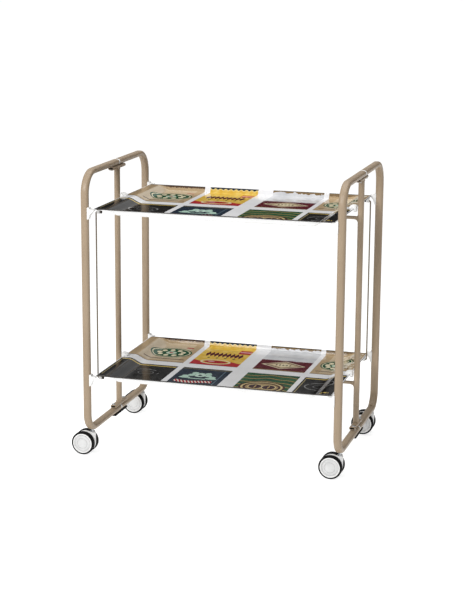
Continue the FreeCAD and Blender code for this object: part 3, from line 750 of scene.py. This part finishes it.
# ------------------------------------------------------------------- casters
def caster(name, side, end):
    """Stem, hood, axle and two wheels; the wheels trail towards -X."""
    x = MID + side * SIDE_X
    y = end * STEM_Y
    hub = Vector((x - TRAIL, y, WHEEL_R))
    frame_body = name + "_half_frame"
    swivel = name + "_caster"
    wheelset = name + "_wheelset"

    data = bmesh.new()
    add_lathe(data, [(0.0, 0.040), (0.0038, 0.040), (0.0040, 0.0405), (0.0040, 0.0700),
                     (0.0, 0.0700)], Vector((x, y, 0)), Z_AXIS, 32)
    add_lathe(data, [(0.0, 0.0566), (0.0060, 0.0566), (0.0064, 0.0570), (0.0064, 0.0580),
                     (0.0, 0.0580)], Vector((x, y, 0)), Z_AXIS, 32)
    settle(new_object(name + "_stem_post", data, [STEEL]), frame_body, "steel")
    data = bmesh.new()
    dome_cap(data, 0.0062, 0.0042, Vector((x, y, LOW_Z + LEG_RISE - 0.0004)), Z_AXIS, 0.0022)
    settle(new_object(name + "_stem_cap", data, [PAINT]), frame_body, "frame_paint",
           name + "_caster_stem")

    data = bmesh.new()
    add_lathe(data, [(0.0, -0.0062), (0.0262, -0.0062), (0.0270, -0.0054), (0.0270, 0.0054),
                     (0.0262, 0.0062), (0.0, 0.0062)], hub, Y_AXIS, 64)
    neck = [(0.0, 0.0370), (0.0074, 0.0370), (0.0080, 0.0390), (0.0080, 0.0535),
            (0.0072, 0.0558), (0.0, 0.0558)]
    add_lathe(data, neck, Vector((x, y, 0)), Z_AXIS, 40)
    bridge = [(-0.012, 0.030), (0.0070, 0.030), (0.0070, 0.0500), (0.0, 0.0530), (-0.012, 0.0545)]

    def plane(a, b, depth):
        return Vector((x + a, y - 0.0056 + depth, b))

    add_prism(data, bridge, 0.0112, plane)
    piece = fused(name + "_hood_shell", data, [WHITE], 0.0007)
    settle(piece, swivel, "white_plastic", name + "_caster_hood")

    data = bmesh.new()
    add_lathe(data, [(0.0, -0.0190), (0.0028, -0.0190), (0.0030, -0.0188), (0.0030, 0.0188),
                     (0.0028, 0.0190), (0.0, 0.0190)], hub, Y_AXIS, 24)
    settle(new_object(name + "_axle_pin", data, [STEEL]), wheelset, "steel",
           name + "_caster_axle")

    wheels = bmesh.new()
    tyres = bmesh.new()
    discs = bmesh.new()
    inner = WHEEL_GAP
    outer = WHEEL_GAP + WHEEL_W
    for sign in (-1, 1):
        axis = Y_AXIS * sign
        crowns = ((inner + 0.0026, -math.pi / 2, 0), (outer - 0.0026, 0, math.pi / 2))
        rim = [(0.0, inner), (0.0235, inner), (0.0249, inner + 0.0012), (0.0249, outer - 0.0006),
               (0.0243, outer + 0.0004), (0.0226, outer + 0.0006), (0.0214, outer - 0.0004),
               (0.0210, outer - 0.0030), (0.0, outer - 0.0030)]
        add_lathe(wheels, rim, hub, axis, 72)
        tread = [(TREAD_SEAT, inner + 0.0006)]
        for along, start, stop in crowns:
            tread += arc((TREAD_CROWN, along), TREAD_ROUND, start, stop, 6)
        tread.append((TREAD_SEAT, outer - 0.0001))
        add_lathe(tyres, tread, hub, axis, 96)
        face = [(0.0, outer - 0.0030), (0.0209, outer - 0.0030), (0.0209, outer - 0.0004),
                (0.0202, outer + 0.0004), (0.0190, outer + 0.0002), (0.0186, outer - 0.0006),
                (0.0180, outer - 0.0002), (0.0138, outer - 0.0004), (0.0132, outer - 0.0014),
                (0.0124, outer - 0.0014), (0.0118, outer - 0.0002), (0.0070, outer + 0.0006),
                (0.0, outer + 0.0010)]
        add_lathe(discs, face, hub, axis, 72)
    settle(new_object(name + "_rims", wheels, [WHITE]), wheelset, "white_plastic",
           name + "_caster_wheels")
    settle(new_object(name + "_treads", tyres, [TYRE]), wheelset, "tyre_rubber",
           name + "_caster_tyres")
    settle(new_object(name + "_hub_discs", discs, [GREY]), wheelset, "grey_plastic",
           name + "_caster_discs")


# -------------------------------------------------------------- centre frame
def weld_bead(data, centre, axis, radius, size=0.0013):
    """Uneven ring of weld where two tubes meet."""
    side, up = frame_of(axis)
    rings = []
    for step, out in enumerate(ring_points(side, up, 36)):
        swell = size * (1.0 + 0.18 * math.sin(step * 2.3) + 0.10 * math.cos(step * 4.1))
        rings.append([data.verts.new(centre + out * radius + way * swell)
                      for way in ring_points(out, axis, 8)])
    for first, second in zip(rings, rings[1:] + rings[:1]):
        join_rings(data, first, second)


def centre_frame():
    """Masts with hinge bars, pins, plugs and straps, then the cross tubes."""
    for side_name, side in SIDES:
        x = MID + side * SIDE_X
        mast_x = MID + side * MAST_X
        low = LOW_Z + BAR_DROP
        high = TOP_Z - BAR_DROP
        data = bmesh.new()
        heights = [low + 0.004, 0.20, 0.32, 0.44, 0.56, high - 0.004]
        add_sweep(data, [Vector((mast_x, 0, z)) for z in heights], MAST_R, 32)
        for z in (low + BAR_RISE + 0.0002, high - BAR_RISE - 0.0002):
            weld_bead(data, Vector((mast_x, 0, z)), Z_AXIS, MAST_R - 0.0003)
        settle(new_object(side_name + "_mast_tube", data, [PAINT]), "centre_frame",
               "frame_paint", side_name + "_centre_post")

        bars = bmesh.new()
        plugs = bmesh.new()
        pins = bmesh.new()
        for z, up in ((high, 1), (low, -1)):
            half = BAR_HALF
            stations = (-half, 0.0008 - half, -0.02, 0.0, 0.02, half - 0.0008, half)
            scales = (0.93, 1.0, 1.0, 1.0, 1.0, 1.0, 0.93)
            add_oval_sweep(bars, [Vector((mast_x, y, z)) for y in stations],
                           flat_oval(BAR_WIDE, BAR_RISE), scales)
            for end in (-1, 1):
                reach = [end * (half + step) for step in (-0.001, 0.0002, 0.0004)]
                add_oval_sweep(plugs, [Vector((mast_x, y, z)) for y in reach],
                               flat_oval(BAR_WIDE - 0.0026, BAR_RISE - 0.0020), (1.0, 1.0, 0.9))
                spot = Vector((x, end * PIN_Y, z))
                dome_cap(pins, 0.0052, 0.0014, spot - Z_AXIS * up * 0.0039,
                         Z_AXIS * -up, 0.0008)
                collar = [(0.0, 0.0036), (0.0055, 0.0036), (0.0055, 0.0046), (0.0, 0.0046)]
                add_lathe(pins, collar, spot, Z_AXIS * up, 32)
        settle(new_object(side_name + "_hinge_tubes", bars, [PAINT]), "centre_frame",
               "frame_paint", side_name + "_hinge_bars")
        settle(new_object(side_name + "_tube_caps", plugs, [BLACK]), "centre_frame",
               "black_plastic", side_name + "_bar_plugs")
        settle(new_object(side_name + "_pivot_pins", pins, [STEEL]), "centre_frame", "steel",
               side_name + "_hinge_pins")

        strap = bmesh.new()
        top = LOW_Z - LEG_RISE - STRAP_GAP
        add_box(strap, (x - STRAP_HALF, -BAR_HALF, top - STRAP_THICK),
                (x + STRAP_HALF, BAR_HALF, top), 0.0012)
        for end in (-1, 1):
            dome_cap(strap, 0.0046, 0.0006, Vector((x, end * PIN_Y, top - STRAP_THICK + 0.0004)),
                     -Z_AXIS, 0.0004)
        settle(new_object(side_name + "_strap_bar", strap, [BLACK]), "centre_frame",
               "black_plastic", side_name + "_bottom_strap")

    for level, lip in LIP.items():
        z = lip - PIVOT_DROP
        data = bmesh.new()
        reach = MAST_X - 0.004
        spans = [-reach, -0.2, -0.1, 0.0, 0.1, 0.2, reach]
        add_sweep(data, [Vector((MID + s, 0, z)) for s in spans], CROSS_R, 28)
        for side in (-1, 1):
            face = MAST_X - MAST_R
            joint = Vector((MID + side * (face - 0.0002), 0, z))
            weld_bead(data, joint, X_AXIS, CROSS_R, 0.0011)
            # Curved gusset under the joint.
            outline = [(0.0, -0.003), (0.0, -0.0125)]
            for step in range(9):
                angle = math.pi * step / 16
                outline.append((0.0015 + 0.0085 * (1 - math.cos(angle)),
                                -0.0118 + 0.0080 * math.sin(angle)))
            outline.append((0.0105, -0.003))

            def plane(a, b, depth, side=side, face=face, z=z):
                return Vector((MID + side * (face + 0.002 - a), -0.003 + depth, z + b))

            add_prism(data, outline, 0.006, plane)
        settle(new_object(level + "_cross_bar", data, [PAINT]), "centre_frame", "frame_paint",
               level + "_cross_tube")


# --------------------------------------------------------------------- trays
def smooth(t):
    """Smooth step from 0 to 1."""
    t = min(max(t, 0.0), 1.0)
    return t * t * (3 - 2 * t)


def tray_height(u, v):
    """Depth of the sheet's upper face below the lip at a plan position."""
    ends = smooth((HALF_X - LIP_FLAT - abs(u)) / SLOPE)
    sides = smooth((HALF_Y - SHEET - abs(v)) / RIM_RUN)
    return -DROP * ends * sides


def spread(half, knots):
    """Grid lines from coarse spans: (start, stop, count) measured inward."""
    lines = set()
    for start, stop, count in knots:
        for step in range(count + 1):
            value = start + (stop - start) * step / count
            lines.add(round(half - value, 6))
            lines.add(round(value - half, 6))
    return sorted(lines)


def tray(level):
    """Recessed sheet with rounded corners: print above, backing below, cut edge."""
    lip = LIP[level]
    us = spread(HALF_X, ((0, CORNER, 6), (CORNER, LIP_FLAT, 4), (LIP_FLAT, LIP_FLAT + SLOPE, 18),
                         (LIP_FLAT + SLOPE, HALF_X, 16)))
    vs = spread(HALF_Y, ((0, SHEET, 2), (SHEET, CORNER, 2), (CORNER, SHEET + RIM_RUN, 8),
                         (SHEET + RIM_RUN, HALF_Y, 16)))
    data = bmesh.new()
    straight = HALF_Y - CORNER
    layers = []
    for top in (True, False):
        grid = []
        for u in us:
            column = []
            reach = HALF_Y
            beyond = abs(u) - (HALF_X - CORNER)
            if beyond > 0:
                reach = straight + math.sqrt(max(CORNER ** 2 - beyond ** 2, 0.0))
            for v in vs:
                squeeze = max(-reach, min(reach, v))
                if abs(v) > straight and reach < HALF_Y:
                    share = (abs(v) - straight) / CORNER
                    squeeze = math.copysign(straight + share * (reach - straight), v)
                z = lip + tray_height(u, squeeze) - (0.0 if top else SHEET)
                column.append(data.verts.new((MID + u, squeeze, z)))
            grid.append(column)
        layers.append(grid)
        for i in range(len(us) - 1):
            for j in range(len(vs) - 1):
                corners = (grid[i][j], grid[i + 1][j], grid[i + 1][j + 1], grid[i][j + 1])
                face = data.faces.new(corners)
                face.material_index = 0 if top else 1
    upper, lower = layers
    border = [(i, 0) for i in range(len(us))]
    border += [(len(us) - 1, j) for j in range(1, len(vs))]
    border += [(i, len(vs) - 1) for i in range(len(us) - 2, -1, -1)]
    border += [(0, j) for j in range(len(vs) - 2, 0, -1)]
    for index, (i, j) in enumerate(border):
        a, b = border[(index + 1) % len(border)]
        face = data.faces.new((upper[i][j], lower[i][j], lower[a][b], upper[a][b]))
        face.material_index = 2
    bmesh.ops.remove_doubles(data, verts=data.verts, dist=MERGE)
    bmesh.ops.dissolve_degenerate(data, edges=data.edges, dist=MERGE)
    piece = new_object(level + "_tray_sheet", data, [PRINTED, BACKING, EDGE])
    settle(piece, level + "_tray_body", "tray_laminate", level + "_tray")


def tray_fittings(level):
    """Saddles on the tray ends, clips on the cross tube and lugs for the rods."""
    lip = LIP[level]
    z = lip - PIVOT_DROP
    body = level + "_tray_body"
    for side_name, side in SIDES:
        inward = -side
        face = MID + side * HALF_X
        data = bmesh.new()
        disc = [(0.0, 0.0004), (0.0086, 0.0004), (0.0088, 0.0008), (0.0088, 0.0052),
                (0.0078, 0.0064), (0.0, 0.0068)]
        add_lathe(data, disc, Vector((face, 0, lip)), X_AXIS * side, 40)
        # Domed saddle on the lip, with a lower step on each flank.
        dome = [(0.0096 * a, 0.0128 * b) for a, b in arc((0, 0), 1, 0, math.pi / 2, 12)]
        add_lathe(data, [(0.0, -0.003)] + [(0.0096, -0.003)] + dome,
                  Vector((face, 0, lip)), X_AXIS * inward, 40)
        ends = sorted((face + inward * 0.0105, face + side * 0.0012))
        add_box(data, (ends[0], -0.0097, lip - 0.001), (ends[1], 0.0097, lip + 0.0034), 0.0012, 2)
        piece = fused(level + "_" + side_name + "_end_pivot", data, [WHITE], 0.0006, 4)
        trim_below(piece, lip + 0.0001, face, side)
        settle(piece, body, "white_plastic", *((level + "_tray_pivots",) if side < 0 else ()))

        data = bmesh.new()
        near = HALF_X - CLIP_INSET
        bore = CROSS_R + 0.0004
        ring = [(bore, 0.0), (0.0088, 0.0), (0.0088, CLIP_LONG), (bore, CLIP_LONG)]
        add_lathe(data, ring, Vector((MID + side * near, 0, z)), X_AXIS * inward, 40)
        stem = [(near, z + 0.0072)]
        for step in range(7):
            spot = near - CLIP_LONG * step / 6
            stem.append((spot, lip + tray_height(spot, 0.0) - SHEET - 0.0003))
        stem.append((near - CLIP_LONG, z + 0.0072))

        def stem_plane(a, b, depth, side=side):
            return Vector((MID + side * a, -0.0075 + depth, b))

        add_prism(data, stem, 0.015, stem_plane)
        settle(new_object(level + "_" + side_name + "_tube_clip", data, [WHITE]), body,
               "white_plastic")

        # Lug that carries the link rod, only on the corner with a rod.
        y = side * ROD_Y
        data = bmesh.new()
        outline = [(-LUG_HALF, 0.0), (-LUG_HALF, -LUG_DROP)]
        outline += arc((0, -LUG_DROP), LUG_HALF, math.pi, 2 * math.pi, 12)
        outline.append((LUG_HALF, 0.0))

        def lug_plane(a, b, depth, side=side, y=y, lip=lip):
            return Vector((MID + side * (0.2955 - depth), y + a, lip - SHEET - 0.0001 + b))

        add_prism(data, outline, 0.007, lug_plane)
        piece = new_object(level + "_" + side_name + "_lug_block", data, [WHITE])
        soften_edges(piece)
        settle(piece, body, "white_plastic", *((level + "_rod_lugs",) if side < 0 else ()))


def trim_below(piece, height, face, side):
    """Flatten the part of a saddle that would sink into the tray sheet."""
    for vert in piece.data.vertices:
        inside = (face - vert.co.x) * side > 0.0002
        if inside and vert.co.z < height:
            vert.co.z = height


def link_rod(name, side):
    """Wire that joins the two trays, bent inward at both ends and capped."""
    x = MID + side * ROD_X
    y = side * ROD_Y
    inward = -side
    high = LIP["upper"] - ROD_DROP
    low = LIP["lower"] - ROD_DROP

    def corner(height, rise, lean):
        """Quarter bend; lean picks which of sine and cosine leads."""
        turns = [math.pi / 2 * step / 8 for step in range(9)]
        return [Vector((x + inward * ROD_BEND * (1 - (math.sin if lean else math.cos)(t)), y,
                        height + rise * ROD_BEND * (1 - (math.cos if lean else math.sin)(t))))
                for t in turns]

    points = [Vector((x + inward * out, y, high)) for out in (ROD_REACH, 0.008)]
    points += corner(high, -1, True)
    points += [Vector((x, y, z)) for z in (0.5, 0.4, 0.3)]
    points += corner(low, 1, False)
    points += [Vector((x + inward * out, y, low)) for out in (0.008, ROD_REACH)]
    data = bmesh.new()
    add_sweep(data, points, ROD_R, 20)
    settle(new_object(name + "_wire", data, [WIRE]), name, "frame_paint", name + "_rod")
    data = bmesh.new()
    for z in (high, low):
        dome_cap(data, 0.0035, 0.0030, Vector((x + inward * 0.0122, y, z)),
                 X_AXIS * inward, 0.0012)
    settle(new_object(name + "_end_caps", data, [BLACK]), name, "black_plastic", name + "_caps")


for side_name, side in SIDES:
    for end_name, end in ENDS:
        half_frame(side_name, side, end_name, end)
centre_frame()
for level in LIP:
    tray(level)
    tray_fittings(level)
link_rod("front_link", -1)
link_rod("rear_link", 1)


# -------------------------------------------------------------------- studio
FLOOR_HALF = 30.0
FLOOR_SINK = 0.0004
FLOOR_GLOW = 0.76
# Brightness of the room by the height of the direction, from nadir to zenith.
ROOM_STOPS = ((0.0, 0.02), (0.272, 0.02), (0.315, 0.80), (1.0, 0.90))
ROOM_LEVEL = 0.80
ROOM_LEAN = -0.42
ROOM_DIM = -0.75
# Name, place, aim, size and power of each softbox.
SOFTBOXES = (("key_softbox", (-1.1, -3.2, 2.5), (0, 0, 0.35), (1.4, 1.8), 96),
             ("top_softbox", (0.2, 0.3, 3.2), (0, 0, 0.3), (2.6, 2.6), 38),
             ("right_softbox", (3.0, -1.2, 1.6), (0, 0, 0.35), (1.4, 1.8), 3))


def floor():
    """Plain pale floor just under the wheels."""
    data = bmesh.new()
    bmesh.ops.create_grid(data, x_segments=1, y_segments=1, size=FLOOR_HALF)
    ground = new_object("studio_floor", data, [], smooth=False)
    ground.location = (0, 0, -FLOOR_SINK)
    s = Shader("studio_floor_white", roughness=0.9, specular=0.0)
    s.colour(s.mix(s.mottle(2.0, 2.0), (0.50, 0.50, 0.50), (0.52, 0.52, 0.52)))
    s.bsdf.inputs["Emission Color"].default_value = (1, 1, 1, 1)
    s.bsdf.inputs["Emission Strength"].default_value = FLOOR_GLOW
    ground.data.materials.append(s.material)


def room():
    """White backdrop; as light it is dark below, brighter on the left, dim at both ends."""
    world = bpy.data.worlds.new("studio_world")
    world.use_nodes = True
    bpy.context.scene.world = world
    tree = world.node_tree

    def node(kind, **settings):
        made = tree.nodes.new(kind)
        for key, value in settings.items():
            setattr(made, key, value)
        return made

    split = node("ShaderNodeSeparateXYZ")
    tree.links.new(node("ShaderNodeTexCoord").outputs["Generated"], split.inputs[0])
    across, height = split.outputs[0], split.outputs[2]
    ramp = node("ShaderNodeValToRGB")
    tree.links.new(height, ramp.inputs[0])
    while len(ramp.color_ramp.elements) < len(ROOM_STOPS):
        ramp.color_ramp.elements.new(0.5)
    for element, (position, level) in zip(ramp.color_ramp.elements, ROOM_STOPS):
        element.position = position
        element.color = (level, level, level, 1)
    lean = node("ShaderNodeMath", operation="MULTIPLY_ADD")
    lean.inputs[1].default_value = ROOM_LEAN
    lean.inputs[2].default_value = ROOM_LEVEL
    tree.links.new(across, lean.inputs[0])
    square = node("ShaderNodeMath", operation="MULTIPLY")
    tree.links.new(across, square.inputs[0])
    tree.links.new(across, square.inputs[1])
    dim = node("ShaderNodeMath", operation="MULTIPLY_ADD", use_clamp=True)
    dim.inputs[1].default_value = ROOM_DIM
    tree.links.new(square.outputs[0], dim.inputs[0])
    tree.links.new(lean.outputs[0], dim.inputs[2])
    shade = node("ShaderNodeVectorMath", operation="SCALE")
    tree.links.new(ramp.outputs[0], shade.inputs[0])
    tree.links.new(dim.outputs[0], shade.inputs["Scale"])
    # Seen directly, the backdrop is plain white.
    choose = node("ShaderNodeMix", data_type="RGBA")
    choose.inputs[7].default_value = (1, 1, 1, 1)
    tree.links.new(node("ShaderNodeLightPath").outputs["Is Camera Ray"], choose.inputs[0])
    tree.links.new(shade.outputs[0], choose.inputs[6])
    back = tree.nodes["Background"]
    tree.links.new(choose.outputs[2], back.inputs[0])
    back.inputs[1].default_value = 1.0


def softbox(name, location, target, size, power):
    """Rectangular area light aimed at a point."""
    light = bpy.data.lights.new(name, "AREA")
    light.shape = "RECTANGLE"
    light.size, light.size_y = size
    light.energy = power
    holder = bpy.data.objects.new(name, light)
    bpy.context.scene.collection.objects.link(holder)
    holder.location = location
    aim = Vector(target) - Vector(location)
    holder.rotation_euler = aim.to_track_quat("-Z", "Y").to_euler()


# Camera fitted to the view: turned to the right, looking down, slightly rolled.
AZIMUTH = math.radians(16.21)
PITCH = math.radians(12.77)
ROLL = math.radians(0.39)
DISTANCE = 4.041
TARGET = Vector((-0.0087 + MID, 0.0, 0.373))
FOCAL_MM = 96.84
SENSOR_MM = 36.0


def camera():
    """Camera at the fitted view, with no shift and no depth of field."""
    forward = Vector((-math.sin(AZIMUTH) * math.cos(PITCH),
                      math.cos(AZIMUTH) * math.cos(PITCH), -math.sin(PITCH)))
    right = Vector((math.cos(AZIMUTH), math.sin(AZIMUTH), 0))
    up = right.cross(forward)
    turned_right = right * math.cos(ROLL) + up * math.sin(ROLL)
    turned_up = up * math.cos(ROLL) - right * math.sin(ROLL)
    lens = bpy.data.cameras.new("photo_camera")
    lens.lens = FOCAL_MM
    lens.sensor_width = SENSOR_MM
    holder = bpy.data.objects.new("photo_camera", lens)
    bpy.context.scene.collection.objects.link(holder)
    axes = Matrix((turned_right, turned_up, -forward)).transposed().to_4x4()
    axes.translation = TARGET - forward * DISTANCE
    holder.matrix_world = axes
    bpy.context.scene.camera = holder


floor()
room()
for box in SOFTBOXES:
    softbox(*box)
camera()
bpy.context.scene.view_settings.view_transform = "Standard"
